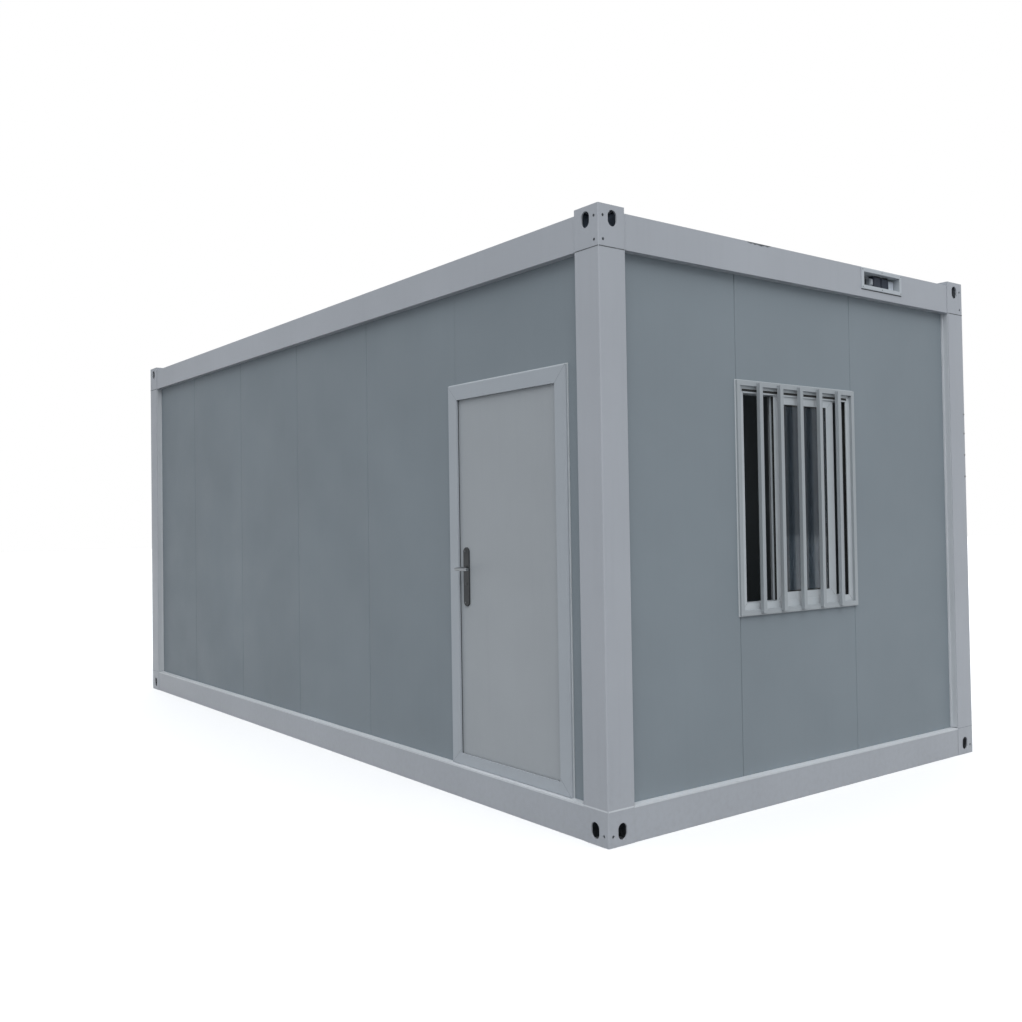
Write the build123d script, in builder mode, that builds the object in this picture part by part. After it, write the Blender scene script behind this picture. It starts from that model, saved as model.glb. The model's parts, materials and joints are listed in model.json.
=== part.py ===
from build123d import *

import os
from math import atan2, degrees

# A flat-pack container office: a folded steel floor frame and roof frame, held apart by
# four corner posts, with 50 mm sandwich panels between them. Millimetres, +Z up, origin on
# the ground at the centre of the footprint. X runs along the length. The door is in the
# front wall, which faces -Y, and the window is in the right end wall, which faces +X.

# Overall size over the corner castings
length = 5950
width = 3000
height = 2850

# Steel frame
sheet = 3
corner_size = 160
casting_wall = 8
base_height = 160
roof_casting_height = 192
casting_rise = 26
beam_setback = 2
post_core = 150
post_bend = 6

# Holes of the corner castings
slot_width = 53
slot_height = 74
slot_from_corner = 86
roof_slot_below_top = 60
base_slot_above_ground = 63
plate_hole_length = 110
plate_hole_width = 56
pin_hole = 14
pin_hole_sides = 12
pin_hole_from_corner = 29
pin_hole_below_top = 54
pin_hole_above_seat = 31
pin_hole_above_ground = 48

# Floor frame
base_flange = 95
base_foot = 60
base_lip = 15
joist_height = 80
joist_width = 40
joist_sheet = 2
joist_spacing = 560
floor_thickness = 18
covering = 2
fit = 2

# Roof frame and roof
roof_flange = 80
gutter_depth = 42
gutter_width = 70
gutter_edge = 24
eave_lip = 42
ceiling_thickness = 12
ceiling_seat = 17
purlin_width = 50
purlin_sheet = 2
purlin_spacing = 475
roof_skin = 1.5
roof_overlap = 15
rib_height = 18
rib_width = 12
rib_foot = 36

# Wall panels
panel_recess = 43
panel_thickness = 50
module = 950
seam_gap = 2
seam_chamfer = 3
tongue_depth = 8
tongue_width = 14
tongue_play = 0.5
front_seam_from_corner = 1190
front_modules = 4
end_first_seam = -550

# Door, in the front wall
door_from_corner = 272
door_width = 970
door_frame_height = 2008
door_rim = 80
door_sill = 62
door_rim_proud = 16
door_rim_thickness = 10
door_rim_chamfer = 4
door_frame_depth = 72
leaf_thickness = 45
leaf_rim_gap = 5
leaf_gap = 7
leaf_overlap = 10
leaf_edge = 2

# Door handles
handle_inset = 68
plate_width = 50
plate_height = 310
plate_thickness = 8
plate_chamfer = 2
plate_centre_height = 1152
collar_radius = 14
collar_height = 5
spindle_height = 1195
lever_reach = 100
lever_stand = 62
lever_radius = 8.5
spindle_play = 0.05
spindle_bore = 12
lock_height = 1114
lock_radius = 8.5
lock_stand = 2

# Door hinges, on the inside of the door
hinge_from_leaf_end = 208
knuckle_radius = 7
knuckle_height = 45
knuckle_play = 0.5
pin_radius = 4
pin_play = 0.05
hinge_stand = 9
hinge_leaf_width = 42
hinge_sheet = 3

# Window, in the right end wall
window_sill = 965
window_height = 1151
window_depth = 62
window_rim = 40
window_play = 2
track_lip = 8
track_wall = 5
sash_width = 500
sash_depth = 24
track_rib = 4
sash_stile = 60
sash_rail = 48
sash_play = 1
outer_sash_centre = -7
inner_sash_centre = 10
glass_thickness = 14
glass_bite = 10
glass_play = 0.5

# Window grille
grille_lap = 12
grille_bar = 25
grille_depth = 15
bar_depth = 20
bar_lap = 15
bar_count = 5
bar_spacing = 162.5

# Electrical inlet, in the right end roof beam
inlet_left = 463
inlet_width = 386
inlet_height = 118
inlet_drop = 3
inlet_rim = 20
inlet_rim_thickness = 6
inlet_rim_chamfer = 2
inlet_depth = 62
inlet_sheet = 2
socket_width = 74
socket_height = 70
socket_depth = 24
lid_inset = 3
lid_depth = 8
lid_chamfer = 4
first_socket_from_rim = 179
socket_spacing = 76
earth_socket_from_rim = 126
earth_socket_width = 28
earth_socket_height = 40

# Places worked out from the sizes above
roof_seat = height - roof_casting_height
beam_top = height - casting_rise
gutter_floor = beam_top - gutter_depth
gutter_outer = beam_setback + roof_flange
gutter_inner = gutter_outer + gutter_width
roof_level = gutter_floor + gutter_edge
panel_top = roof_seat + eave_lip
ceiling_top = panel_top + ceiling_thickness
panel_back = panel_recess + panel_thickness
end_reach = length / 2
front_reach = width / 2
front_panel_end = end_reach - post_core
end_panel_end = front_reach - post_core
joist_top = base_height - floor_thickness
door_right = end_reach - door_from_corner
door_left = door_right - door_width
door_top = base_height + door_frame_height
rim_depth = panel_recess - door_rim_proud
leaf_depth = rim_depth + door_rim_thickness + leaf_rim_gap
leaf_left = door_left + door_rim - leaf_overlap
leaf_right = door_right - door_rim + leaf_overlap
leaf_bottom = base_height + door_sill - leaf_overlap
leaf_top = door_top - door_rim + leaf_overlap
handle_x = leaf_left + handle_inset
hinge_x = leaf_right - 0.5
hinge_y = -front_reach + leaf_depth + leaf_thickness + hinge_stand
hinge_heights = (
    leaf_bottom + hinge_from_leaf_end,
    (leaf_bottom + leaf_top) / 2,
    leaf_top - hinge_from_leaf_end,
)
window_left = end_first_seam + window_play
window_right = end_first_seam + module - window_play
window_top = window_sill + window_height

outward_of = {
    "front": Vector(0, -1, 0),
    "right": Vector(1, 0, 0),
    "back": Vector(0, 1, 0),
    "left": Vector(-1, 0, 0),
}
corner_signs = {
    "front_left": (-1, -1),
    "front_right": (1, -1),
    "back_right": (1, 1),
    "back_left": (-1, 1),
}
upward = Vector(0, 0, 1)

os.makedirs("parts", exist_ok=True)


def save(piece, name):
    piece.part.label = name
    export_step(piece.part, f"parts/{name}.step")


def outer_face(side):
    """How far the outer face of a side is from the centre."""
    return end_reach if side in ("left", "right") else front_reach


def wall_end(side):
    """Where the panels of a side end, at its corner posts."""
    return front_panel_end if side in ("front", "back") else end_panel_end


def along(side):
    """The way to the right along a side, seen from outside."""
    outward = outward_of[side]
    return Vector(-outward.Y, outward.X, 0)


def face_plane(side, depth):
    """Seen from outside: X to the right, Y up from the ground, Z outward."""
    outward = outward_of[side]
    return Plane(outward * (outer_face(side) - depth), x_dir=along(side), z_dir=outward)


def plan_plane(side, level):
    """Seen from above: X to the right along the side, Y inward from its outer face."""
    origin = outward_of[side] * outer_face(side) + upward * level
    return Plane(origin, x_dir=along(side), z_dir=upward)


def section_plane(side, start):
    """Across a side: X inward from its outer face, Y up, Z along the side."""
    outward = outward_of[side]
    return Plane(outward * outer_face(side) + along(side) * start, x_dir=-outward, z_dir=along(side))


def corner_plane(corner, level):
    """At a corner of the footprint: X and Y run inward along the two sides, Z up."""
    sign_x, sign_y = corner_signs[corner]
    inward = (-sign_x, 0, 0) if sign_x == sign_y else (0, -sign_y, 0)
    origin = (sign_x * end_reach, sign_y * front_reach, level)
    return Plane(origin, x_dir=inward, z_dir=(0, 0, 1))


def add_rectangle(low, high, mode=Mode.ADD):
    """A rectangle in the current sketch, from two opposite corners."""
    with Locations(((low[0] + high[0]) / 2, (low[1] + high[1]) / 2)):
        Rectangle(high[0] - low[0], high[1] - low[1], mode=mode)


def inset_rectangle(inset, notch):
    """The footprint less an inset all round, with its corners cut out to clear the posts."""
    Rectangle(length - 2 * inset, width - 2 * inset)
    for sign_x, sign_y in corner_signs.values():
        with Locations((sign_x * end_reach, sign_y * front_reach)):
            Rectangle(2 * notch, 2 * notch, mode=Mode.SUBTRACT)


def folded_strip(points):
    """A folded sheet's section. The sheet lies to the right of the line that the points make."""
    with BuildSketch() as section:
        with BuildLine():
            Polyline(*points)
            offset(amount=sheet, side=Side.RIGHT, closed=True)
        make_face()
    return section.sketch


# Corner castings: hollow steel blocks with a slot in each outer face, a long hole in the
# top or bottom plate, and small round holes near the corner.
def corner_casting(corner, level, tall, slot_level, pin_levels, plate_level):
    base = corner_plane(corner, level)
    along_face = Plane(base.origin, x_dir=base.x_dir, z_dir=-base.y_dir)
    across_face = Plane(base.origin, x_dir=-base.y_dir, z_dir=-base.x_dir)
    with BuildPart() as casting:
        with BuildSketch(base):
            add_rectangle((0, 0), (corner_size, corner_size))
        extrude(amount=tall)
        outer_corner = casting.edges().filter_by(Axis.Z).sort_by_distance(base.origin)[0]
        fillet(outer_corner, radius=post_bend)
        with BuildSketch(base.offset(casting_wall)):
            with Locations((corner_size / 2, corner_size / 2)):
                Rectangle(corner_size - 2 * casting_wall, corner_size - 2 * casting_wall)
        extrude(amount=tall - 2 * casting_wall, mode=Mode.SUBTRACT)
        for face, direction in ((along_face, 1), (across_face, -1)):
            with BuildSketch(face):
                with Locations((direction * slot_from_corner, slot_level - level)):
                    SlotOverall(slot_height, slot_width, rotation=90)
                for pin_level in pin_levels:
                    with Locations((direction * pin_hole_from_corner, pin_level - level)):
                        RegularPolygon(pin_hole / 2, pin_hole_sides)
            extrude(amount=-casting_wall, mode=Mode.SUBTRACT)
        with BuildSketch(base.offset(plate_level - level)):
            with Locations((corner_size / 2, corner_size / 2)):
                SlotOverall(plate_hole_length, plate_hole_width)
        extrude(amount=casting_wall, mode=Mode.SUBTRACT)
    return casting


for corner in corner_signs:
    roof_casting = corner_casting(
        corner,
        level=roof_seat,
        tall=roof_casting_height,
        slot_level=height - roof_slot_below_top,
        pin_levels=(height - pin_hole_below_top, roof_seat + pin_hole_above_seat),
        plate_level=height - casting_wall,
    )
    save(roof_casting, f"{corner}_roof_casting")
    base_casting = corner_casting(
        corner,
        level=0,
        tall=base_height,
        slot_level=base_slot_above_ground,
        pin_levels=(pin_hole_above_ground,),
        plate_level=0,
    )
    save(base_casting, f"{corner}_base_casting")


# Corner posts: a folded box with a lip on each side that laps over the wall panels.
def corner_post(corner):
    base = corner_plane(corner, base_height)
    with BuildPart() as post:
        with BuildSketch(base) as section:
            with BuildLine():
                Polyline(
                    (0, 0),
                    (corner_size, 0),
                    (corner_size, panel_recess),
                    (post_core, panel_recess),
                    (post_core, post_core),
                    (panel_recess, post_core),
                    (panel_recess, corner_size),
                    (0, corner_size),
                    close=True,
                )
            make_face()
            offset(amount=-sheet, mode=Mode.SUBTRACT)
        extrude(amount=roof_seat - base_height)
        outer_corner = post.edges().filter_by(Axis.Z).sort_by_distance(base.origin)[0]
        fillet(outer_corner, radius=post_bend)
    return post


for corner in corner_signs:
    save(corner_post(corner), f"{corner}_post")


# Floor frame: C sections whose wide top flange carries the wall panels.
def floor_beam(side):
    run = 2 * (outer_face("right" if side in ("front", "back") else "front") - corner_size)
    web = beam_setback
    section = folded_strip(
        [
            (web + base_foot, base_lip),
            (web + base_foot, 0),
            (web, 0),
            (web, base_height),
            (web + base_flange, base_height),
            (web + base_flange, base_height - base_lip),
        ]
    )
    with BuildPart() as beam:
        with BuildSketch(section_plane(side, -run / 2)):
            add(section)
        extrude(amount=run)
    return beam


for side in outward_of:
    save(floor_beam(side), f"{side}_floor_beam")

# Floor joists: C sections between the webs of the long floor beams.
joist_run = width - 2 * (beam_setback + sheet)
joist_count = int((length - 2 * corner_size - joist_spacing) // joist_spacing)
with BuildPart() as floor_joists:
    with BuildSketch(Plane((0, -joist_run / 2, 0), x_dir=(-1, 0, 0), z_dir=(0, 1, 0))):
        with GridLocations(joist_spacing, 0, joist_count, 1):
            with Locations((0, joist_top - joist_height / 2)):
                Rectangle(joist_width, joist_height)
            with Locations((joist_sheet, joist_top - joist_height / 2)):
                Rectangle(joist_width, joist_height - 2 * joist_sheet, mode=Mode.SUBTRACT)
    extrude(amount=joist_run)
save(floor_joists, "floor_joists")

floor_inset = beam_setback + base_flange + fit
with BuildPart() as floor_board:
    with BuildSketch(Plane.XY.offset(joist_top)):
        inset_rectangle(floor_inset, corner_size + fit)
    extrude(amount=floor_thickness)
save(floor_board, "floor_board")

covering_inset = rim_depth + door_frame_depth + 1
with BuildPart() as floor_covering:
    with BuildSketch(Plane.XY.offset(base_height)):
        inset_rectangle(covering_inset, post_core + fit)
    extrude(amount=covering)
save(floor_covering, "floor_covering")


# Roof frame: folded beams with an eave lip over the panels and a rain gutter behind.
def roof_beam(side):
    run = 2 * (outer_face("right" if side in ("front", "back") else "front") - corner_size)
    section = folded_strip(
        [
            (panel_recess, panel_top),
            (panel_recess, roof_seat),
            (beam_setback, roof_seat),
            (beam_setback, beam_top),
            (gutter_outer, beam_top),
            (gutter_outer, gutter_floor),
            (gutter_inner, gutter_floor),
            (gutter_inner, roof_level),
        ]
    )
    with BuildPart() as beam:
        with BuildSketch(section_plane(side, -run / 2)):
            add(section)
        extrude(amount=run)
    return beam


for side in outward_of:
    if side != "right":
        save(roof_beam(side), f"{side}_roof_beam")

# The right end roof beam has a window cut for the electrical inlet.
inlet_centre = inlet_left + inlet_width / 2
inlet_level = beam_top - inlet_drop - inlet_height / 2
tray_width = inlet_width - 2 * inlet_rim
tray_height = inlet_height - 2 * inlet_rim
beam_face = face_plane("right", beam_setback)
with BuildPart() as right_roof_beam:
    add(roof_beam("right").part)
    with BuildSketch(beam_face):
        with Locations((inlet_centre, inlet_level)):
            Rectangle(tray_width, tray_height)
    extrude(amount=-sheet, mode=Mode.SUBTRACT)
save(right_roof_beam, "right_roof_beam")

# Inlet: a pressed tray let into the beam, with a flat rim that stands on its face
with BuildPart() as inlet_box:
    with BuildSketch(beam_face):
        with Locations((inlet_centre, inlet_level)):
            Rectangle(inlet_width, inlet_height)
    extrude(amount=inlet_rim_thickness)
    rim_front = inlet_box.faces().sort_by(Axis.X)[-1]
    chamfer(rim_front.edges(), length=inlet_rim_chamfer)
    with BuildSketch(beam_face):
        with Locations((inlet_centre, inlet_level)):
            Rectangle(tray_width, tray_height)
    extrude(amount=-inlet_depth)
    with BuildSketch(beam_face.offset(inlet_rim_thickness)):
        with Locations((inlet_centre, inlet_level)):
            Rectangle(tray_width - 2 * inlet_sheet, tray_height - 2 * inlet_sheet)
    extrude(amount=-(inlet_rim_thickness + inlet_depth - inlet_sheet), mode=Mode.SUBTRACT)
save(inlet_box, "inlet_box")

# Sockets with spring lids, on the tray's back wall: two for the supply and a small earth one
socket_back = beam_face.offset(inlet_sheet - inlet_depth)
tray_left = inlet_left + inlet_rim


def inlet_socket(from_rim, base_width, base_height):
    with BuildPart() as socket:
        with BuildSketch(socket_back):
            with Locations((tray_left + from_rim, inlet_level)):
                Rectangle(base_width, base_height)
        extrude(amount=socket_depth)
        with BuildSketch(socket_back.offset(socket_depth)):
            with Locations((tray_left + from_rim, inlet_level)):
                Rectangle(base_width - 2 * lid_inset, base_height - 2 * lid_inset)
        extrude(amount=lid_depth)
        lid_front = socket.faces().sort_by(Axis.X)[-1]
        chamfer(lid_front.edges(), length=lid_chamfer)
    return socket


with BuildPart() as supply_sockets:
    add(inlet_socket(first_socket_from_rim, socket_width, socket_height).part)
    add(inlet_socket(first_socket_from_rim + socket_spacing, socket_width, socket_height).part)
save(supply_sockets, "supply_sockets")
save(inlet_socket(earth_socket_from_rim, earth_socket_width, earth_socket_height), "earth_socket")

# Ceiling board, on the tops of the wall panels
with BuildPart() as ceiling:
    with BuildSketch(Plane.XY.offset(panel_top)):
        inset_rectangle(panel_recess + ceiling_seat, corner_size + fit)
    extrude(amount=ceiling_thickness)
save(ceiling, "ceiling")

# Roof purlins: C sections between the gutters
purlin_height = roof_level - ceiling_top
purlin_run = width - 2 * (gutter_inner + sheet)
purlin_count = int((length - 2 * corner_size) // purlin_spacing)
with BuildPart() as roof_purlins:
    with BuildSketch(Plane((0, -purlin_run / 2, 0), x_dir=(-1, 0, 0), z_dir=(0, 1, 0))):
        with GridLocations(purlin_spacing, 0, purlin_count, 1):
            with Locations((0, ceiling_top + purlin_height / 2)):
                Rectangle(purlin_width, purlin_height)
            with Locations((purlin_sheet, ceiling_top + purlin_height / 2)):
                Rectangle(purlin_width, purlin_height - 2 * purlin_sheet, mode=Mode.SUBTRACT)
    extrude(amount=purlin_run)
save(roof_purlins, "roof_purlins")

# Roof skin, with standing seams between its sheets
roof_inset = gutter_inner + sheet - roof_overlap
rib_run = width - 2 * roof_inset
rib_slope = degrees(atan2(rib_height, (rib_foot - rib_width) / 2))
with BuildPart() as roof_sheet:
    with BuildSketch(Plane.XY.offset(roof_level)):
        inset_rectangle(roof_inset, corner_size + fit)
    extrude(amount=roof_skin)
    with BuildSketch(Plane((0, -rib_run / 2, roof_level + roof_skin), x_dir=(-1, 0, 0), z_dir=(0, 1, 0))):
        with GridLocations(purlin_spacing, 0, purlin_count, 1):
            Trapezoid(rib_foot, rib_height, rib_slope, align=(Align.CENTER, Align.MIN))
    extrude(amount=rib_run)
save(roof_sheet, "roof_sheet")


# Wall panels: sandwich panels on end, with a tongue and groove at each seam.
def panel_outline(start, stop, groove_edge, tongue_edge):
    """A panel's plan, from its left end to its right end as seen from outside."""
    left = start + seam_gap / 2
    right = stop - seam_gap / 2
    middle = panel_recess + panel_thickness / 2
    tongue = tongue_width / 2
    groove = tongue + tongue_play
    reach = tongue_depth
    left_nose = (left, panel_recess + seam_chamfer)
    points = [(left + seam_chamfer, panel_recess), (right - seam_chamfer, panel_recess)]
    points += [(right, panel_recess + seam_chamfer)]
    if tongue_edge:
        points += [(right, middle - tongue), (right + reach, middle - tongue)]
        points += [(right + reach, middle + tongue), (right, middle + tongue)]
    points += [(right, panel_back), (left, panel_back)]
    if groove_edge:
        depth = reach + tongue_play
        points += [(left, middle + groove), (left + depth, middle + groove)]
        points += [(left + depth, middle - groove), (left, middle - groove)]
    return points + [left_nose]


# The room that the roof castings take out of the top corners of the walls
with BuildPart() as roof_casting_room:
    with BuildSketch(Plane.XY.offset(roof_seat - seam_gap / 2)):
        for sign_x, sign_y in corner_signs.values():
            with Locations((sign_x * end_reach, sign_y * front_reach)):
                Rectangle(2 * corner_size + seam_gap, 2 * corner_size + seam_gap)
    extrude(amount=roof_casting_height)


def wall_panel(side, start, stop, low=base_height, high=panel_top, groove_edge=True, tongue_edge=True):
    with BuildPart() as panel:
        with BuildSketch(plan_plane(side, low)):
            with BuildLine():
                Polyline(*panel_outline(start, stop, groove_edge, tongue_edge), close=True)
            make_face()
        extrude(amount=high - low)
        if max(abs(start), abs(stop)) == wall_end(side):
            add(roof_casting_room.part, mode=Mode.SUBTRACT)
    return panel


def panel_row(side, seams):
    """A run of whole panels between seams, with plain ends at the posts."""
    with BuildPart() as row:
        for start, stop in zip(seams, seams[1:]):
            panel = wall_panel(
                side,
                start,
                stop,
                groove_edge=abs(start) < wall_end(side),
                tongue_edge=abs(stop) < wall_end(side),
            )
            add(panel.part)
    return row


# The seams of the front wall are counted back from the right corner, past the door.
door_module = end_reach - front_seam_from_corner
front_seams = [door_module - step * module for step in range(front_modules, 0, -1)]
save(panel_row("front", [-front_panel_end] + front_seams), "front_wall_panels")

# The next panel is notched round the head of the door frame.
with BuildPart() as front_wall_door_side:
    add(wall_panel("front", front_seams[-1], door_module).part)
    with BuildSketch(face_plane("front", 0)):
        add_rectangle((door_left, base_height), (door_right, door_top))
    extrude(amount=-2 * panel_back, mode=Mode.SUBTRACT)
save(front_wall_door_side, "front_wall_door_side")
save(
    wall_panel("front", door_module, front_panel_end, low=door_top, tongue_edge=False),
    "front_wall_over_door",
)
save(
    wall_panel("front", door_right, front_panel_end, high=door_top, groove_edge=False, tongue_edge=False),
    "front_wall_corner_strip",
)

back_seams = [step * module for step in (-2, -1, 0, 1, 2)]
save(panel_row("back", [-front_panel_end] + back_seams + [front_panel_end]), "back_wall_panels")
end_seams = [end_first_seam, end_first_seam + module]
save(panel_row("left", [-end_panel_end] + end_seams + [end_panel_end]), "left_wall_panels")

with BuildPart() as right_wall_side_panels:
    add(wall_panel("right", -end_panel_end, end_seams[0], groove_edge=False).part)
    add(wall_panel("right", end_seams[1], end_panel_end, tongue_edge=False).part)
    with BuildSketch(face_plane("right", 0)):
        add_rectangle((window_left, window_sill), (window_right, window_top))
    extrude(amount=-2 * panel_back, mode=Mode.SUBTRACT)
save(right_wall_side_panels, "right_wall_side_panels")
save(wall_panel("right", *end_seams, high=window_sill), "right_wall_under_window")
save(wall_panel("right", *end_seams, low=window_top), "right_wall_over_window")

# Door frame: a rim that shows outside, stepped back behind so that the leaf shuts against it.
door_low = (door_left + door_rim, base_height + door_sill)
door_high = (door_right - door_rim, door_top - door_rim)
with BuildPart() as door_frame:
    with BuildSketch(face_plane("front", rim_depth)):
        add_rectangle((door_left, base_height), (door_right, door_top))
    extrude(amount=-door_frame_depth)
    rim_face = door_frame.faces().sort_by(Axis.Y)[0]
    chamfer(rim_face.edges(), length=door_rim_chamfer)
    with BuildSketch(face_plane("front", rim_depth)):
        add_rectangle(door_low, door_high)
    extrude(amount=-door_rim_thickness, mode=Mode.SUBTRACT)
    with BuildSketch(face_plane("front", rim_depth + door_rim_thickness)):
        add_rectangle(
            (leaf_left - leaf_gap, leaf_bottom - leaf_gap),
            (leaf_right + leaf_gap, leaf_top + leaf_gap),
        )
    extrude(amount=-(door_frame_depth - door_rim_thickness), mode=Mode.SUBTRACT)
save(door_frame, "door_frame")

# Door leaf, bored for the spindle and the lock
leaf_front = face_plane("front", leaf_depth)
leaf_back_depth = leaf_depth + leaf_thickness
leaf_inner = face_plane("front", leaf_back_depth)
with BuildPart() as door_leaf:
    with BuildSketch(leaf_front):
        add_rectangle((leaf_left, leaf_bottom), (leaf_right, leaf_top))
    extrude(amount=-leaf_thickness)
    fillet(door_leaf.edges().filter_by(Axis.Z), radius=leaf_edge)
    with BuildSketch(leaf_front):
        with Locations((handle_x, spindle_height)):
            Circle(spindle_bore)
        with Locations((handle_x, lock_height)):
            Circle(lock_radius)
    extrude(amount=-leaf_thickness, mode=Mode.SUBTRACT)
save(door_leaf, "door_leaf")


# Handle plates: long plates with round ends and a collar for the spindle, on each side of the leaf
def handle_plate(plane, way):
    """A plate that stands out from a plane: way is 1 for outward and -1 for inward."""
    with BuildPart() as plate:
        with BuildSketch(plane):
            with Locations((handle_x, plate_centre_height)):
                SlotOverall(plate_height, plate_width, rotation=90)
        extrude(amount=way * plate_thickness)
        outside = plate.faces().sort_by(Axis.Y)[0 if way > 0 else -1]
        chamfer(outside.edges(), length=plate_chamfer)
        with BuildSketch(plane):
            with Locations((handle_x, spindle_height)):
                Circle(collar_radius)
        extrude(amount=way * (plate_thickness + collar_height))
        with BuildSketch(plane):
            with Locations((handle_x, spindle_height)):
                Circle(lever_radius + spindle_play)
            with Locations((handle_x, lock_height)):
                Circle(lock_radius)
        extrude(amount=way * (plate_thickness + collar_height), mode=Mode.SUBTRACT)
    return plate


with BuildPart() as handle_plates:
    add(handle_plate(leaf_front, 1).part)
    add(handle_plate(leaf_inner, -1).part)
save(handle_plates, "handle_plates")

# Lock cylinder, right through the leaf and both plates
lock_reach = plate_thickness + lock_stand
with BuildPart() as lock_cylinder:
    with BuildSketch(leaf_front.offset(lock_reach)):
        with Locations((handle_x, lock_height)):
            Circle(lock_radius)
    extrude(amount=-(leaf_thickness + 2 * lock_reach))
save(lock_cylinder, "lock_cylinder")

# Lever: two mitred round bars on one spindle, pointing to the hinges
spindle_centre = -front_reach + leaf_depth + leaf_thickness / 2
lever_out = leaf_thickness / 2 + plate_thickness + lever_stand
with BuildPart() as door_lever:
    with BuildLine(Plane((handle_x, spindle_centre, spindle_height), x_dir=(1, 0, 0), z_dir=(0, 0, 1))):
        Polyline(
            (lever_reach, -lever_out),
            (0, -lever_out),
            (0, lever_out),
            (lever_reach, lever_out),
        )
    lever_tip = (handle_x + lever_reach, spindle_centre - lever_out, spindle_height)
    with BuildSketch(Plane(lever_tip, z_dir=(-1, 0, 0))):
        Circle(lever_radius)
    sweep(transition=Transition.RIGHT)
save(door_lever, "door_lever")


# Hinges: lift-off hinges, a fixed half with a pin below and a leaf half above
def hinge_half(level, plate_start, plate_stop, plate_side, hollow):
    with BuildPart() as half:
        with BuildSketch(Plane.XY.offset(level)):
            with Locations((hinge_x, hinge_y)):
                Circle(knuckle_radius)
            add_rectangle((plate_start, plate_side), (plate_stop, plate_side + hinge_sheet))
            if hollow:
                add_rectangle((hinge_x - knuckle_radius, plate_side), (hinge_x, hinge_y))
                with Locations((hinge_x, hinge_y)):
                    Circle(pin_radius + pin_play, mode=Mode.SUBTRACT)
        extrude(amount=knuckle_height)
        if not hollow:
            with BuildSketch(Plane.XY.offset(level + knuckle_height)):
                with Locations((hinge_x, hinge_y)):
                    Circle(pin_radius)
            extrude(amount=knuckle_height)
    return half


frame_back = -front_reach + rim_depth + door_frame_depth
leaf_back = -front_reach + leaf_back_depth
hinge_frame_stop = hinge_x + hinge_leaf_width
hinge_leaf_start = hinge_x - hinge_leaf_width
with BuildPart() as hinge_frame_halves:
    for hinge_height in hinge_heights:
        level = hinge_height - knuckle_height
        add(hinge_half(level, hinge_x + pin_radius, hinge_frame_stop, frame_back, False).part)
save(hinge_frame_halves, "hinge_frame_halves")
with BuildPart() as hinge_leaf_halves:
    for hinge_height in hinge_heights:
        level = hinge_height + knuckle_play
        add(hinge_half(level, hinge_leaf_start, hinge_x - pin_radius, leaf_back, True).part)
save(hinge_leaf_halves, "hinge_leaf_halves")

# Window frame: a deep rim with two tracks
track_low = (window_left + window_rim, window_sill + window_rim)
track_high = (window_right - window_rim, window_top - window_rim)
outer_track = panel_recess + track_wall
inner_track = outer_track + sash_depth + track_rib
with BuildPart() as window_frame:
    with BuildSketch(face_plane("right", panel_recess)):
        add_rectangle((window_left, window_sill), (window_right, window_top))
        add_rectangle(
            (track_low[0] + track_lip, track_low[1] + track_lip),
            (track_high[0] - track_lip, track_high[1] - track_lip),
            mode=Mode.SUBTRACT,
        )
    extrude(amount=-window_depth)
    for track_depth in (outer_track, inner_track):
        with BuildSketch(face_plane("right", track_depth)):
            add_rectangle(track_low, track_high)
        extrude(amount=-sash_depth, mode=Mode.SUBTRACT)
save(window_frame, "window_frame")


# Sashes: two framed panes that slide past each other, both left near the middle
def sash_opening(centre, grow):
    return (
        (centre - sash_width / 2 + sash_stile - grow, track_low[1] + sash_rail - grow),
        (centre + sash_width / 2 - sash_stile + grow, track_high[1] - sash_play - sash_rail + grow),
    )


def sash(centre, track_depth):
    face = face_plane("right", track_depth + sash_play / 2)
    frame_depth = sash_depth - sash_play
    pane_depth = track_depth + (sash_depth - glass_thickness) / 2 - glass_play
    with BuildPart() as frame:
        with BuildSketch(face):
            add_rectangle(
                (centre - sash_width / 2, track_low[1]),
                (centre + sash_width / 2, track_high[1] - sash_play),
            )
            add_rectangle(*sash_opening(centre, 0), mode=Mode.SUBTRACT)
        extrude(amount=-frame_depth)
        with BuildSketch(face_plane("right", pane_depth)):
            add_rectangle(*sash_opening(centre, glass_bite + glass_play))
        extrude(amount=-(glass_thickness + 2 * glass_play), mode=Mode.SUBTRACT)
    return frame


def pane(centre, track_depth):
    with BuildPart() as glass:
        with BuildSketch(face_plane("right", track_depth + (sash_depth - glass_thickness) / 2)):
            add_rectangle(*sash_opening(centre, glass_bite))
        extrude(amount=-glass_thickness)
    return glass


save(sash(outer_sash_centre, outer_track), "window_sash_outer")
save(sash(inner_sash_centre, inner_track), "window_sash_inner")
with BuildPart() as window_glass:
    add(pane(outer_sash_centre, outer_track).part)
    add(pane(inner_sash_centre, inner_track).part)
save(window_glass, "window_glass")

# Window grille: a flat steel rim that laps over the window, with upright bars in front of it
grille_width = window_right - window_left + 2 * grille_lap
grille_height = window_height + 2 * grille_lap
grille_centre = (window_left + window_right) / 2
grille_middle = (window_sill + window_top) / 2
grille_face = face_plane("right", panel_recess)
bar_length = grille_height - 2 * (grille_bar - bar_lap)
with BuildPart() as window_grille:
    with BuildSketch(grille_face):
        with Locations((grille_centre, grille_middle)):
            Rectangle(grille_width, grille_height)
            Rectangle(grille_width - 2 * grille_bar, grille_height - 2 * grille_bar, mode=Mode.SUBTRACT)
    extrude(amount=grille_depth)
    with BuildSketch(grille_face.offset(grille_depth)):
        with Locations((grille_centre, grille_middle)):
            with GridLocations(bar_spacing, 0, bar_count, 1):
                Rectangle(grille_bar, bar_length)
    extrude(amount=bar_depth)
save(window_grille, "window_grille")
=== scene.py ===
import json
import math

import bmesh
import bpy
from mathutils import Matrix, Vector


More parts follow.
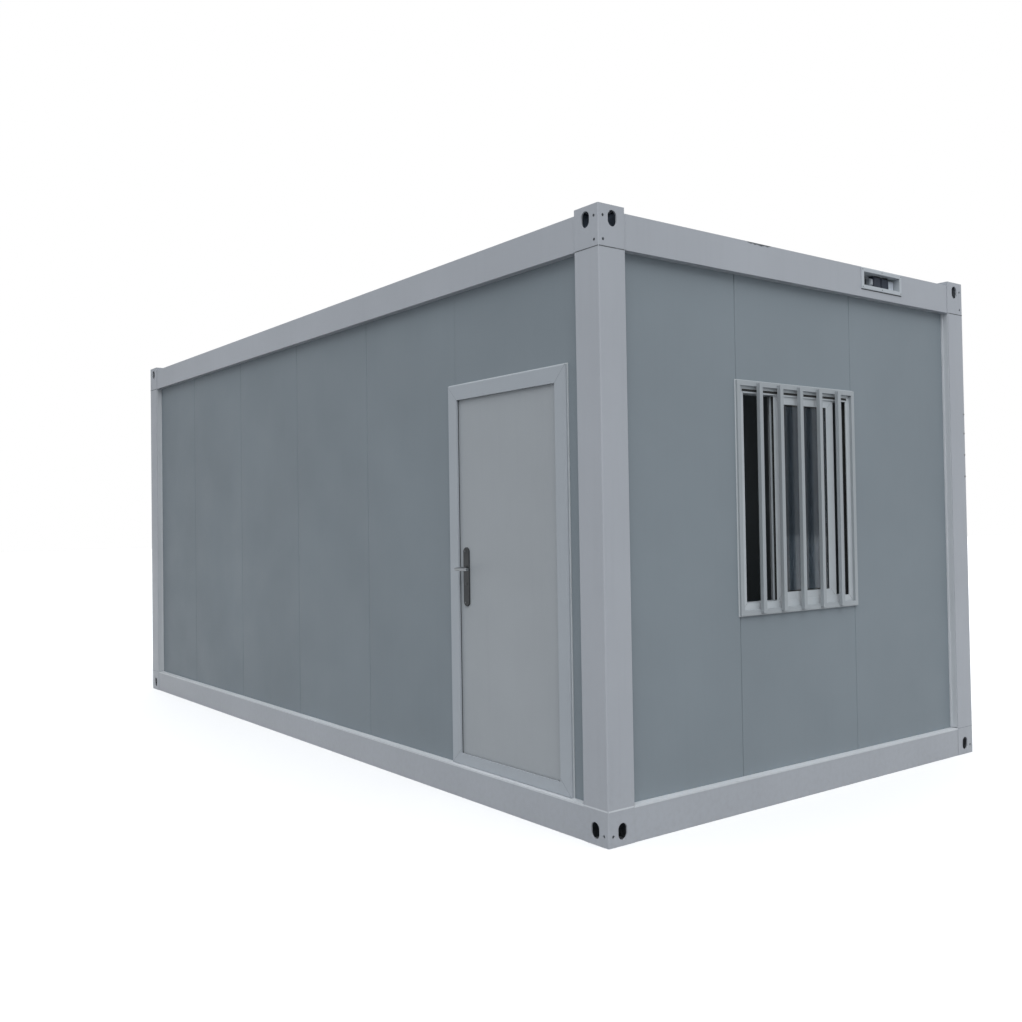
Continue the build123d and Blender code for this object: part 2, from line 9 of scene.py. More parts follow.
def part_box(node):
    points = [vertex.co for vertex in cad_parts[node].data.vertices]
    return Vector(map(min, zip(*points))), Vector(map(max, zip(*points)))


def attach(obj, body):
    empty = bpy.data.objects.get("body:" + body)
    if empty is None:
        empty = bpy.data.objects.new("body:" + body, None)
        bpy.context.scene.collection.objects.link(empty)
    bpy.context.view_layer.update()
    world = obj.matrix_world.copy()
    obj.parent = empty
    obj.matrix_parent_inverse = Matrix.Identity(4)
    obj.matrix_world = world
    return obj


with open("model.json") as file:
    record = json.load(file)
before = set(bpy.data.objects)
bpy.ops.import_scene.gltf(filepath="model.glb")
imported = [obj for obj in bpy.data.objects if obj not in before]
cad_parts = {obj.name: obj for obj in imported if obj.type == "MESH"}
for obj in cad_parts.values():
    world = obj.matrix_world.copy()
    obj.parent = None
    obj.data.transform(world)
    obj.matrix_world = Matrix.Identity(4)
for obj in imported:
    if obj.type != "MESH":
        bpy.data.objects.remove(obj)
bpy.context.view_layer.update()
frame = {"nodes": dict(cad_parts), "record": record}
nodes = frame["nodes"]

MM = 0.001

# Camera: fitted to the edges of both walls in the photograph, for a square picture
CAMERA_PLACE = Vector((6.38936, -4.63514, 1.44185))
CAMERA_YAW = math.radians(143.455)
CAMERA_PITCH = math.radians(1.2188)
CAMERA_ROLL = math.radians(-0.8563)
CAMERA_LENS = 36.90
CAMERA_SHIFT = (0.01823, -0.01171)

# Paint colours, chosen by patches beside the photograph
FRAME_COLOUR = "#9fa3a9"
PANEL_COLOUR = "#7a8389"
DOOR_FRAME_COLOUR = "#9aa0a6"
DOOR_COLOUR = "#94999d"
GRILLE_COLOUR = "#959b9f"
BLACK = [0.0, 0.0, 0.0, 1.0]

# Painted shade towards the far end: the X where the paint is darkest, the X where it is full, and the
# darkest share
FRAME_FAR_SHADE = (-2.9, -0.5, 0.88)
PANEL_FAR_SHADE = (-2.9, 2.9, 0.84)

# Names and directions that several pieces share
CORNERS = ("front_left", "front_right", "back_right", "back_left")
SASHES = ("window_sash_outer", "window_sash_inner")
TO_FRONT = (0, -1, 0)
TO_BACK = (0, 1, 0)
TO_RIGHT = (1, 0, 0)
TO_SKY = (0, 0, 1)
SPAN_SOCKETS = ("From Min", "From Max", "To Min", "To Max")


def linear(hex_colour):
    """A written colour as linear red, green and blue, with alpha 1."""
    parts = [int(hex_colour[i : i + 2], 16) / 255 for i in (1, 3, 5)]
    return [p / 12.92 if p <= 0.04045 else ((p + 0.055) / 1.055) ** 2.4 for p in parts] + [1.0]


def scaled(colour, factor):
    """A colour made lighter or darker."""
    return [min(1.0, c * factor) for c in colour[:3]] + [1.0]


class Nodes:
    """A material's node tree, with short names for what this scene uses."""

    def __init__(self, name):
        self.material = bpy.data.materials.new(name)
        self.material.use_nodes = True
        self.tree = self.material.node_tree
        self.shader = self.tree.nodes["Principled BSDF"]
        self.place = self.tree.nodes.new("ShaderNodeTexCoord").outputs["Object"]

    def add(self, kind, **settings):
        node = self.tree.nodes.new(kind)
        for key, value in settings.items():
            setattr(node, key, value)
        return node

    def feed(self, target, value):
        """Give an input a number, a colour or another node's output."""
        if isinstance(value, bpy.types.NodeSocket):
            self.tree.links.new(value, target)
        else:
            target.default_value = value

    def surface(self, name, value):
        """Give one of the shader's own inputs its value."""
        self.feed(self.shader.inputs[name], value)

    def stretched(self, x, y, z):
        """The place on the object, with each axis scaled."""
        mapping = self.add("ShaderNodeMapping")
        mapping.inputs["Scale"].default_value = (x, y, z)
        self.feed(mapping.inputs["Vector"], self.place)
        return mapping.outputs["Vector"]

    def noise(self, scale, detail=2.0, place=None, roughness=0.5):
        node = self.add("ShaderNodeTexNoise")
        node.inputs["Scale"].default_value = scale
        node.inputs["Detail"].default_value = detail
        node.inputs["Roughness"].default_value = roughness
        self.feed(node.inputs["Vector"], place or self.place)
        return node.outputs["Fac"]

    def remap(self, value, low, high, to_low, to_high):
        node = self.add("ShaderNodeMapRange")
        for key, number in zip(SPAN_SOCKETS, (low, high, to_low, to_high)):
            node.inputs[key].default_value = number
        self.feed(node.inputs["Value"], value)
        return node.outputs["Result"]

    def combine(self, operation, first, second):
        node = self.add("ShaderNodeMath", operation=operation)
        for socket, value in zip(node.inputs, (first, second)):
            self.feed(socket, value)
        return node.outputs[0]

    def mix(self, factor, first, second):
        """A colour between two colours, each a list or another node's output."""
        node = self.add("ShaderNodeMix", data_type="RGBA")
        for key, value in (("Factor", factor), ("A", first), ("B", second)):
            self.feed(node.inputs[key], value)
        return node.outputs["Result"]

    def axis(self, name):
        """One axis of the place on the object."""
        node = self.add("ShaderNodeSeparateXYZ")
        self.feed(node.inputs["Vector"], self.place)
        return node.outputs[name]

    def rounded_bump(self, height, strength, distance, edge):
        """Surface relief over edges rounded by a small radius."""
        bump = self.add("ShaderNodeBump")
        bump.inputs["Strength"].default_value = strength
        bump.inputs["Distance"].default_value = distance
        self.feed(bump.inputs["Height"], height)
        if edge:
            bevel = self.add("ShaderNodeBevel", samples=4)
            bevel.inputs["Radius"].default_value = edge
            self.feed(bump.inputs["Normal"], bevel.outputs["Normal"])
        self.surface("Normal", bump.outputs["Normal"])


def painted_metal(
    name, colour, roughness=0.42, edge=1.5 * MM, dust=0.5, waviness=0.25, shine=0.35, far_shade=None
):
    """Sprayed steel: faint mottling, orange peel, soft roller waves, dust low down and, where asked,
    painted shade towards the far end.
    """
    n = Nodes(name)
    base = linear(colour)
    mottle = n.remap(n.noise(1.3, 4.0), 0.3, 0.7, 0.0, 1.0)
    paint = n.mix(mottle, scaled(base, 0.96), scaled(base, 1.04))
    streak = n.remap(n.noise(5.0, 5.0, n.stretched(6, 6, 0.35)), 0.52, 0.78, 0.0, 0.08 * dust)
    paint = n.mix(streak, paint, linear("#5d5f60"))
    low_down = n.remap(n.axis("Z"), 0.0, 0.4, 0.22 * dust, 0.0)
    speckle = n.remap(n.noise(38.0, 6.0), 0.42, 0.68, 0.0, 1.0)
    paint = n.mix(n.combine("MULTIPLY", low_down, speckle), paint, linear("#77746c"))
    # Painted shade: the paint darkens towards the far end along X, where less light falls
    if far_shade:
        darkest_at, full_at, share = far_shade
        shade = n.remap(n.axis("X"), darkest_at, full_at, 1.0 - share, 0.0)
        paint = n.mix(shade, paint, BLACK)
    n.surface("Base Color", paint)
    n.surface("Roughness", n.remap(n.noise(3.0, 3.0), 0.3, 0.7, roughness - 0.05, roughness + 0.06))
    n.surface("Specular IOR Level", shine)
    peel = n.combine("MULTIPLY", n.noise(420.0, 2.0), 0.12)
    waves = n.combine("MULTIPLY", n.noise(2.2, 2.0), waviness)
    n.rounded_bump(n.combine("ADD", peel, waves), 0.35, 1.2 * MM, edge)
    return n.material


def galvanised(name, colour, roughness=0.45, edge=0.8 * MM):
    """Zinc-coated steel with its spangle and a dull bloom."""
    n = Nodes(name)
    base = linear(colour)
    cells = n.add("ShaderNodeTexVoronoi")
    cells.inputs["Scale"].default_value = 70.0
    n.feed(cells.inputs["Vector"], n.place)
    spangle = n.remap(cells.outputs["Color"], 0.2, 0.8, 0.0, 1.0)
    zinc = n.mix(spangle, scaled(base, 0.9), scaled(base, 1.08))
    bloom = n.remap(n.noise(2.4, 5.0), 0.45, 0.7, 0.0, 0.35)
    n.surface("Base Color", n.mix(bloom, zinc, linear("#b9bcbc")))
    n.surface("Metallic", 0.7)
    n.surface("Roughness", n.remap(spangle, 0.0, 1.0, roughness - 0.07, roughness + 0.1))
    n.rounded_bump(n.noise(160.0, 3.0), 0.15, 0.4 * MM, edge)
    return n.material


def moulded(name, colour, roughness=0.45, edge=1.0 * MM, grain=700.0, dirt=0.15):
    """Moulded or extruded plastic, with a fine grain and a little grime."""
    n = Nodes(name)
    base = linear(colour)
    grime = n.remap(n.noise(9.0, 6.0), 0.5, 0.75, 0.0, dirt)
    n.surface("Base Color", n.mix(grime, base, scaled(base, 0.55)))
    n.surface("Roughness", n.remap(n.noise(14.0, 3.0), 0.3, 0.7, roughness - 0.05, roughness + 0.07))
    n.rounded_bump(n.noise(grain, 2.0), 0.2, 0.25 * MM, edge)
    return n.material


def brushed(name, colour, along, roughness=0.28):
    """Brushed metal with fine lines along one axis."""
    n = Nodes(name)
    base = linear(colour)
    lines = n.noise(900.0, 3.0, n.stretched(*along))
    share = n.remap(lines, 0.3, 0.7, 0.0, 1.0)
    n.surface("Base Color", n.mix(share, scaled(base, 0.85), scaled(base, 1.1)))
    n.surface("Metallic", 1.0)
    n.surface("Roughness", n.remap(lines, 0.3, 0.7, roughness - 0.06, roughness + 0.1))
    n.rounded_bump(lines, 0.12, 0.15 * MM, 0.6 * MM)
    return n.material


def rubber(name, colour="#1c1e20", roughness=0.7):
    """Rubber, brush hair and dull dark surfaces, with a little mottling."""
    n = Nodes(name)
    base = linear(colour)
    share = n.remap(n.noise(60.0, 4.0), 0.4, 0.7, 0.0, 1.0)
    n.surface("Base Color", n.mix(share, base, scaled(base, 2.0)))
    n.surface("Roughness", roughness)
    n.rounded_bump(n.noise(500.0, 2.0), 0.3, 0.2 * MM, None)
    return n.material


def glazing(name):
    """Clear float glass with a faint blue body and a film of dust."""
    n = Nodes(name)
    n.surface("Base Color", linear("#c4cfd8"))
    n.surface("Transmission Weight", 1.0)
    n.surface("IOR", 1.33)
    n.surface("Roughness", n.remap(n.noise(6.0, 5.0), 0.4, 0.75, 0.0, 0.07))
    return n.material


def plywood(name):
    """Floor board: phenolic-faced plywood, with long grain along X."""
    n = Nodes(name)
    grain = n.noise(7.0, 8.0, n.stretched(0.5, 9, 9), roughness=0.65)
    share = n.remap(grain, 0.3, 0.7, 0.0, 1.0)
    n.surface("Base Color", n.mix(share, linear("#6d4f33"), linear("#a5825b")))
    n.surface("Roughness", 0.65)
    n.rounded_bump(grain, 0.3, 0.6 * MM, 1.0 * MM)
    return n.material


def vinyl(name):
    """Floor covering: grey vinyl with a fleck."""
    n = Nodes(name)
    fleck = n.remap(n.noise(320.0, 2.0), 0.56, 0.64, 0.0, 1.0)
    n.surface("Base Color", n.mix(fleck, linear("#66696b"), linear("#8c8f90")))
    n.surface("Roughness", 0.42)
    n.rounded_bump(n.noise(180.0, 3.0), 0.2, 0.4 * MM, None)
    return n.material


# Materials of the solids, one for each slot
MATERIALS = {
    "frame_paint": painted_metal(
        "frame_paint", FRAME_COLOUR, edge=2.0 * MM, dust=0.5, shine=0.28, far_shade=FRAME_FAR_SHADE
    ),
    "panel_paint": painted_metal(
        "panel_paint",
        PANEL_COLOUR,
        roughness=0.55,
        edge=1.0 * MM,
        dust=0.35,
        waviness=0.4,
        shine=0.2,
        far_shade=PANEL_FAR_SHADE,
    ),
    "door_frame_paint": painted_metal("door_frame_paint", DOOR_FRAME_COLOUR, dust=0.4),
    "door_paint": painted_metal("door_paint", DOOR_COLOUR, dust=0.4, waviness=0.3),
    "handle_plastic": moulded("handle_plastic", "#1d2022", 0.55),
    "lever_steel": brushed("lever_steel", "#8b8e90", (1, 40, 40), 0.36),
    "lock_steel": brushed("lock_steel", "#4a4b4c", (40, 1, 40)),
    "zinc_steel": galvanised("zinc_steel", "#9a9e9f"),
    "roof_zinc": galvanised("roof_zinc", "#a4a8a9", 0.5),
    "floor_board": plywood("floor_board"),
    "floor_covering": vinyl("floor_covering"),
    "ceiling_board": moulded("ceiling_board", "#dcdcda", 0.6, 1.0 * MM, 240.0, 0.08),
    "window_plastic": moulded("window_plastic", "#a9afb3", 0.34, 1.2 * MM, 900.0, 0.2),
    "window_glass": glazing("window_glass"),
    "grille_paint": painted_metal("grille_paint", GRILLE_COLOUR, edge=1.2 * MM, dust=0.3),
    "inlet_paint": painted_metal("inlet_paint", "#aab0b5", edge=0.8 * MM, dust=0.3),
    "socket_blue": moulded("socket_blue", "#101c2e", 0.55),
    "socket_grey": moulded("socket_grey", "#a2a8ae", 0.45),
}
for part in frame["record"]["subparts"]:
    shape = nodes[part["node"]].data
    shape.materials.clear()
    shape.materials.append(MATERIALS[part["material_slot"]])

# Materials of the pieces that are added here
seal = rubber("seal_rubber")
brush = rubber("track_brush", "#131415", 0.95)
sealant = moulded("sealant", "#bcc1c4", 0.5, None, 300.0, 0.2)
# A pale copy of the frame paint: painted highlight on the posts' beads, the near post's foot and the ledges
# of the floor beams
pale_highlight_paint = painted_metal(
    "pale_highlight_paint", "#c0c4c8", roughness=0.4, edge=None, dust=0.3, far_shade=FRAME_FAR_SHADE
)
# A lighter copy of the frame paint: painted light that lifts the shade in the posts' returns
post_lip_painted_light = painted_metal("post_lip_painted_light", "#babec2", edge=None, dust=0.3, far_shade=FRAME_FAR_SHADE)
joint_shade = rubber("joint_shade", "#4c4f52", 0.8)
paint_line = rubber("paint_line", "#5f6468", 0.6)
# Dark and blue-grey steel for the insides of the castings and their holes, partly painted shade
dark_steel_and_shade = rubber("dark_steel_and_shade", "#33383b", 0.85)
hollow_steel_and_shade = rubber("hollow_steel_and_shade", "#39424e", 0.7)
pale_plastic = moulded("pale_plastic", "#c9d0d8", 0.45, None)
# Darker than the window plastic: painted shade of the bars on the strip where the sashes meet
shaded_interlock = moulded("shaded_interlock", "#8d9398", 0.45, None)
dark_zinc = galvanised("dark_zinc", "#5d6061", 0.4, None)


def new_piece(name, mesh, material, body="root"):
    """A finished mesh as a piece of the object that moves with one body."""
    data = bpy.data.meshes.new(name)
    bmesh.ops.recalc_face_normals(mesh, faces=mesh.faces)
    mesh.to_mesh(data)
    mesh.free()
    data.materials.append(material)
    piece = bpy.data.objects.new(name, data)
    bpy.context.scene.collection.objects.link(piece)
    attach(piece, body)


def add_block(mesh, low, high):
    """A plain block between two corners, joined to a mesh."""
    centre = (Vector(low) + Vector(high)) / 2
    size = Vector(high) - Vector(low)
    bmesh.ops.create_cube(mesh, size=1.0, matrix=Matrix.Translation(centre) @ Matrix.Diagonal((*size, 1.0)))


def add_screw(mesh, place, outward, radius, rise, sides=20):
    """A low domed head with a sunk middle, standing on a face."""
    outward = Vector(outward).normalized()
    turn = outward.to_track_quat("Z", "Y").to_matrix().to_4x4()
    seat = Matrix.Translation(Vector(place)) @ turn
    rings = ((1.0, 0.0), (1.0, 0.35), (0.82, 0.75), (0.5, 1.0))
    loops = []
    for share, lift in rings:
        loop = []
        for step in range(sides):
            angle = 2 * math.pi * step / sides
            spot = Vector((radius * share * math.cos(angle), radius * share * math.sin(angle), rise * lift))
            loop.append(mesh.verts.new(seat @ spot))
        loops.append(loop)
    for lower, upper in zip(loops, loops[1:]):
        for step in range(sides):
            after = (step + 1) % sides
            mesh.faces.new((lower[step], lower[after], upper[after], upper[step]))
    mesh.faces.new(list(reversed(loops[0])))
    top = mesh.faces.new(loops[-1])
    bmesh.ops.inset_individual(mesh, faces=[top], thickness=radius * 0.12, depth=-rise * 0.35)


def screws(name, places, outward, radius, rise, material, body="root"):
    """A set of like screws as one piece."""
    mesh = bmesh.new()
    for place in places:
        add_screw(mesh, place, outward, radius, rise)
    new_piece(name, mesh, material, body)


def add_ring(mesh, low, high, width, front, back, axis):
    """A flat rectangular ring of four strips. axis is the way that the ring faces: "X" or "Y"."""
    (a0, z0), (a1, z1) = low, high
    strips = (
        ((a0, z0), (a1, z0 + width)),
        ((a0, z1 - width), (a1, z1)),
        ((a0, z0 + width), (a0 + width, z1 - width)),
        ((a1 - width, z0 + width), (a1, z1 - width)),
    )
    for (s0, t0), (s1, t1) in strips:
        if axis == "Y":
            add_block(mesh, (s0, front, t0), (s1, back, t1))
        else:
            add_block(mesh, (front, s0, t0), (back, s1, t1))


def add_line(mesh, start, end, width, outward, rise):
    """A thin raised strip between two points of a face."""
    start, end, outward = Vector(start), Vector(end), Vector(outward).normalized()
    run = end - start
    ahead = run.normalized()
    turn = Matrix((ahead, outward.cross(ahead), outward)).transposed().to_4x4()
    middle = Matrix.Translation((start + end) / 2 + outward * (rise / 2))
    size = Matrix.Diagonal((run.length, width, rise, 1.0))
    bmesh.ops.create_cube(mesh, size=1.0, matrix=middle @ turn @ size)


def add_mitres(mesh, low, high, rim, depth, axis, outward, width=1.0 * MM):
    """The four mitre lines of a frame's corners, on its face at a depth along one axis."""
    rise = 0.25 * MM
    for side in (0, 1):
        for end in (0, 1):
            corner = ((low, high)[side][0], (low, high)[end][1])
            inner = (corner[0] + rim * (1 - 2 * side), corner[1] + rim * (1 - 2 * end))
            if axis == "Y":
                start, stop = (corner[0], depth, corner[1]), (inner[0], depth, inner[1])
            else:
                start, stop = (depth, corner[0], corner[1]), (depth, inner[0], inner[1])
            add_line(mesh, start, stop, width, outward, rise)


def corner_ways(corner):
    """The ways that a named corner points along X and along Y, each 1 or -1."""
    return (1 if "right" in corner else -1), (1 if "back" in corner else -1)


def end_of(low, high, way):
    """The end of a span that lies the given way."""
    return high if way > 0 else low


# Door leaf: a rubber seal on its outer face, the screws of the handle plates and the keyholes
def door_leaf_details():
    leaf_low, leaf_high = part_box("door_leaf")
    seal_inset, seal_width, seal_depth = 2 * MM, 7 * MM, 4.6 * MM
    ring_low = (leaf_low.x + seal_inset, leaf_low.z + seal_inset)
    ring_high = (leaf_high.x - seal_inset, leaf_high.z - seal_inset)
    mesh = bmesh.new()
    add_ring(mesh, ring_low, ring_high, seal_width, leaf_low.y - seal_depth, leaf_low.y, "Y")
    new_piece("door_seal", mesh, seal, "door")

    plate_low, plate_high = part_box("handle_plates")
    middle = (plate_low.x + plate_high.x) / 2
    inset = 20 * MM
    head, rise = 4.2 * MM, 1.6 * MM
    for side, face, outward in (("outer", plate_low.y, TO_FRONT), ("inner", plate_high.y, TO_BACK)):
        places = [(middle, face, plate_low.z + inset), (middle, face, plate_high.z - inset)]
        screws(f"{side}_plate_screws", places, outward, head, rise, dark_zinc, "door")

    lock_low, lock_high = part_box("lock_cylinder")
    lock_level = (lock_low.z + lock_high.z) / 2
    half_slot, slot_width, slot_rise = 4.5 * MM, 1.8 * MM, 0.2 * MM
    mesh = bmesh.new()
    for face, outward in ((lock_low.y, TO_FRONT), (lock_high.y, TO_BACK)):
        start, end = (middle, face, lock_level - half_slot), (middle, face, lock_level + half_slot)
        add_line(mesh, start, end, slot_width, outward, slot_rise)
    new_piece("keyholes", mesh, brush, "door")


# Door frame: a bead of sealant beside and over it, and the mitres of its corners
def door_frame_details():
    rim_low, rim_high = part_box("door_frame")
    wall_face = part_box("front_wall_panels")[0].y
    bead = 5 * MM
    mesh = bmesh.new()
    for x in (rim_low.x - bead / 2, rim_high.x + bead / 2):
        start, end = (x, wall_face, rim_low.z), (x, wall_face, rim_high.z + bead)
        add_line(mesh, start, end, bead, TO_FRONT, bead)
    level = rim_high.z + bead / 2
    start, end = (rim_low.x, wall_face, level), (rim_high.x, wall_face, level)
    add_line(mesh, start, end, bead, TO_FRONT, bead)
    new_piece("door_frame_sealant", mesh, sealant)

    rim = 80 * MM
    mesh = bmesh.new()
    add_mitres(mesh, (rim_low.x, rim_low.z), (rim_high.x, rim_high.z), rim, rim_low.y, "Y", TO_FRONT)
    new_piece("door_frame_mitres", mesh, paint_line)


# Hinges: two screws in each half of the three hinges
def hinge_details():
    leaf_low, leaf_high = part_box("door_leaf")
    frame_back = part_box("door_frame")[1].y
    frame_half_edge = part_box("hinge_frame_halves")[1].x
    leaf_half_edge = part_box("hinge_leaf_halves")[0].x
    hinge_inset = 208 * MM
    levels = (leaf_low.z + hinge_inset, (leaf_low.z + leaf_high.z) / 2, leaf_high.z - hinge_inset)
    plate, from_edge = 3 * MM, 12 * MM
    on_frame = []
    on_leaf = []
    for level in levels:
        for lift in (12 * MM, 33 * MM):
            on_frame.append((frame_half_edge - from_edge, frame_back + plate, level - lift))
            on_leaf.append((leaf_half_edge + from_edge, leaf_high.y + plate, level + lift))
    head, rise = 4.5 * MM, 1.5 * MM
    screws("hinge_frame_screws", on_frame, TO_BACK, head, rise, dark_zinc)
    screws("hinge_leaf_screws", on_leaf, TO_BACK, head, rise, dark_zinc, "door")


# Window sashes: gaskets round the glass, brushes at the sides, the strip where they meet, and
# the mitres of the sashes and of the window frame
def sash_details():
    stile, rail = 60 * MM, 48 * MM
    gasket, gasket_depth = 3.5 * MM, 2.5 * MM
    glass, glass_inset = 14 * MM, 4.5 * MM
    brush_inset, brush_width, brush_rise = 7 * MM, 12 * MM, 1.5 * MM
    strip_width, strip_depth = 7 * MM, 3 * MM
    from_end = 12 * MM
    mitre = 0.9 * MM
    gaskets = bmesh.new()
    mitres = bmesh.new()
    side_brushes = bmesh.new()
    for name in SASHES:
        low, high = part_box(name)
        opening_low = (low.y + stile, low.z + rail)
        opening_high = (high.y - stile, high.z - rail)
        front = high.x - glass_inset
        for face in (front, front - glass - gasket_depth):
            add_ring(gaskets, opening_low, opening_high, gasket, face, face + gasket_depth, "X")
        add_mitres(mitres, (low.y, low.z), (high.y, high.z), rail, high.x, "X", TO_RIGHT, mitre)
        brush_at = high.x - brush_inset
        for y, way in ((low.y, -1), (high.y, 1)):
            start, end = (brush_at, y, low.z + from_end), (brush_at, y, high.z - from_end)
            add_line(side_brushes, start, end, brush_width, (0, way, 0), brush_rise)
        if name == "window_sash_outer":
            # The strip's darker plastic is painted shade
            strip = bmesh.new()
            corner = (low.x, low.y - strip_width, low.z + from_end)
            add_block(strip, corner, (low.x + strip_depth, low.y, high.z - from_end))
            new_piece("sash_interlock", strip, shaded_interlock)
    new_piece("glass_gaskets", gaskets, seal)
    new_piece("sash_brushes", side_brushes, brush)

    low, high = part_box("window_frame")
    frame_mitre = 48 * MM
    add_mitres(mitres, (low.y, low.z), (high.y, high.z), frame_mitre, high.x, "X", TO_RIGHT, mitre)
    new_piece("window_mitres", mitres, joint_shade)


# Window tracks: a brush at each side of both tracks, and a dark strip along the head, a painted shadow of
# the head's groove
def track_details():
    low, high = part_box("window_frame")
    rim = 40 * MM
    brush_depth, play = 2 * MM, 1 * MM
    head_shade_height, head_shade_rise = 12 * MM, 0.8 * MM
    brushes = bmesh.new()
    for name in SASHES:
        sash_low, sash_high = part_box(name)
        for y, step in ((low.y + rim, brush_depth), (high.y - rim, -brush_depth)):
            corner = (sash_low.x + play, min(y, y + step), low.z + rim)
            add_block(brushes, corner, (sash_high.x - play, max(y, y + step), high.z - rim))
    # Painted shadow: a dark strip on the face of the head, above the sashes
    corner = (high.x, low.y + rim, high.z - rim)
    add_block(brushes, corner, (high.x + head_shade_rise, high.y - rim, high.z - rim + head_shade_height))
    new_piece("track_brushes_and_head_shade", brushes, brush)


# Grille: screws in its rim, and a bead of sealant round it
def grille_details():
    window_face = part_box("window_frame")[1].x
    low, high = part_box("window_grille")
    rim_depth, from_edge = 12 * MM, 12.5 * MM
    head_reach, side_reach = 243.75 * MM, 350 * MM
    rim_face = window_face + rim_depth
    centre = (low.y + high.y) / 2
    middle = (low.z + high.z) / 2
    places = []
    for y in (centre - head_reach, centre + head_reach):
        places += [(rim_face, y, low.z + from_edge), (rim_face, y, high.z - from_edge)]
    for z in (middle - side_reach, middle, middle + side_reach):
        places += [(rim_face, low.y + from_edge, z), (rim_face, high.y - from_edge, z)]
    screws("grille_screws", places, TO_RIGHT, 4.5 * MM, 2.0 * MM, dark_zinc)

    bead = 4 * MM
    ring_low = (low.y - bead, low.z - bead)
    ring_high = (high.y + bead, high.z + bead)
    mesh = bmesh.new()
    add_ring(mesh, ring_low, ring_high, bead, window_face, window_face + bead, "X")
    new_piece("grille_sealant", mesh, sealant)


# Inlet: a dark rubber strip along the foot of its rim, a painted shadow under the rim, and the rim's screws
def inlet_details():
    low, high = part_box("inlet_box")
    beam_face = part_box("right_roof_beam")[1].x
    shadow_below, shadow_above, shadow_rise = 4 * MM, 2 * MM, 1.2 * MM
    mesh = bmesh.new()
    # Painted shadow: a dark strip just under the foot of the rim
    corner = (beam_face, low.y, low.z - shadow_below)
    add_block(mesh, corner, (beam_face + shadow_rise, high.y, low.z + shadow_above))
    new_piece("inlet_foot_shadow", mesh, seal)

    from_edge = 10 * MM
    places = []
    for z in (low.z + from_edge, high.z - from_edge):
        places += [(high.x, y, z) for y in (low.y + from_edge, (low.y + high.y) / 2, high.y - from_edge)]
    screws("inlet_screws", places, TO_RIGHT, 3.5 * MM, 1.5 * MM, dark_zinc)


# Sockets: the hinge at the head of each lid and a small tab at its foot
def socket_details():
    low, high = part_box("supply_sockets")
    width = 74 * MM
    hinge_inset, hinge_back, hinge_front = 14 * MM, 8 * MM, 1 * MM
    hinge_below, hinge_above = 3 * MM, 1.5 * MM
    tab_inset, tab_front = 30 * MM, 2.5 * MM
    tab_low, tab_high = 3 * MM, 9 * MM
    mesh = bmesh.new()
    for start in (low.y, high.y - width):
        end = start + width
        corner = (high.x - hinge_back, start + hinge_inset, high.z - hinge_below)
        add_block(mesh, corner, (high.x + hinge_front, end - hinge_inset, high.z + hinge_above))
        corner = (high.x, start + tab_inset, low.z + tab_low)
        add_block(mesh, corner, (high.x + tab_front, end - tab_inset, low.z + tab_high))
    new_piece("socket_lid_hinges", mesh, brush)


# Beside the sockets: a pale block at one end and a dark plate at the other. What the block is is a guess;
# the dark plate is painted shade on the back wall of the inlet
def socket_neighbours():
    box_low, box_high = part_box("inlet_box")
    low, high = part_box("supply_sockets")
    earth_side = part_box("earth_socket")[0].y
    box_wall = 24 * MM
    cover_gap, cover_back, cover_drop = 3 * MM, 5 * MM, 12 * MM
    rib_width, rib_depth, rib_short = 9 * MM, 2 * MM, 3 * MM
    back, front = low.x, high.x - cover_back
    floor, top = low.z, high.z - cover_drop
    mesh = bmesh.new()
    add_block(mesh, (back, high.y + cover_gap, floor), (front, box_high.y - box_wall, top))
    for rib_start in (14 * MM, 28 * MM):
        y = high.y + rib_start
        add_block(mesh, (front, y, floor + rib_short), (front + rib_depth, y + rib_width, top - rib_short))
    new_piece("terminal_cover", mesh, pale_plastic)

    # Painted shade: a dark plate on the inlet's back wall, beside the earth socket
    plate, plate_gap = 2 * MM, 2 * MM
    mesh = bmesh.new()
    add_block(mesh, (back, box_low.y + box_wall, floor), (back + plate, earth_side - plate_gap, high.z))
    new_piece("inlet_shade_plate", mesh, seal)


# Post trims: a lip and a bead along both edges of each post, on the faces of the panels. The lips' lighter
# paint is painted light in the shaded returns, and the pale beads are a painted highlight
def post_trims():
    end_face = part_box("right_wall_side_panels")[1].x
    side_face = -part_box("front_wall_panels")[0].y
    lip, bead = 3 * MM, 9 * MM
    set_back, from_foot = 3 * MM, 6 * MM
    lips = bmesh.new()
    beads = bmesh.new()
    for corner in CORNERS:
        low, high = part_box(f"{corner}_post")
        way_x, way_y = corner_ways(corner)
        edge_x, edge_y = end_of(low.x, high.x, -way_x), end_of(low.y, high.y, -way_y)
        end_depth = abs(end_of(low.x, high.x, way_x)) - end_face - set_back
        side_depth = abs(end_of(low.y, high.y, way_y)) - side_face - set_back
        bottom = low.z + from_foot
        for mesh, width, on_end, on_side in ((lips, lip, end_depth, side_depth), (beads, bead, bead, bead)):
            x, y = way_x * end_face, edge_y - way_y * width / 2
            add_line(mesh, (x, y, bottom), (x, y, high.z), width, (way_x, 0, 0), on_end)
            x, y = edge_x - way_x * width / 2, way_y * side_face
            add_line(mesh, (x, y, bottom), (x, y, high.z), width, (0, way_y, 0), on_side)
    new_piece("post_returns", lips, post_lip_painted_light)
    new_piece("post_beads", beads, pale_highlight_paint)


